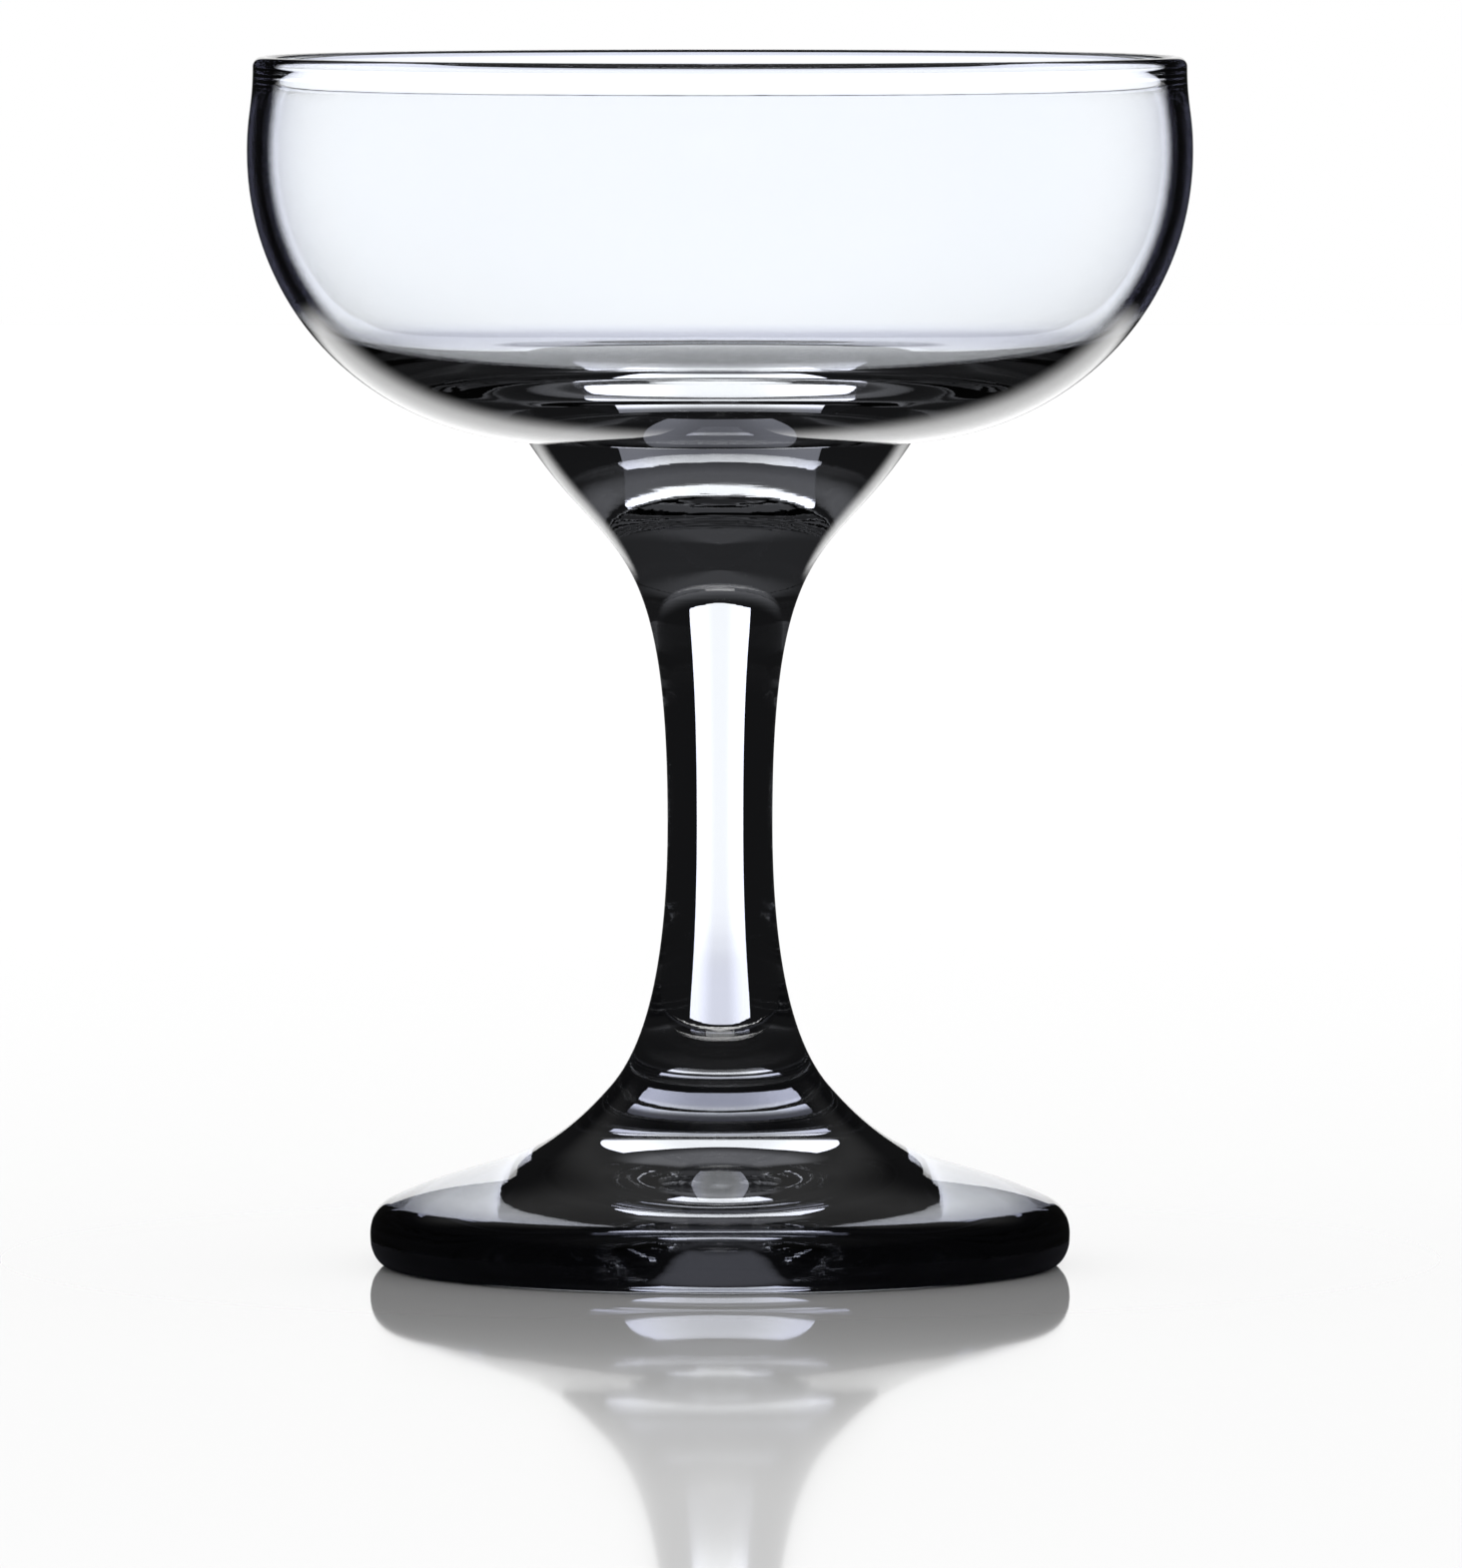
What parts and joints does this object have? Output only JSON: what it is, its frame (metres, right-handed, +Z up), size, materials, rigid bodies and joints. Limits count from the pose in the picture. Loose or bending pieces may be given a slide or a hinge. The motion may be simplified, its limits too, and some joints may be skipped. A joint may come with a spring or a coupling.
{
  "type": "coupe glass",
  "caption": "Stemmed coupe glass with a wide shallow round bowl, a waisted solid stem and a domed pressed foot, for sparkling wine or cocktails.",
  "frame": {"origin": "middle of the foot's underside, in the plane of the resting ring", "axes": "+Z up the axis of the glass, from the foot to the lip; the glass is the same all round, so X and Y are free"},
  "size_m": [0.0946, 0.0946, 0.121],
  "materials": {
    "bowl_glass": "clear, fire-polished",
    "stem_glass": "clear, fire-polished",
    "foot_glass": "clear, fire-polished"
  },
  "bodies": {
    "root": {"bowl": "bowl_glass", "stem": "stem_glass", "foot": "foot_glass"}
  },
  "joints": []
}
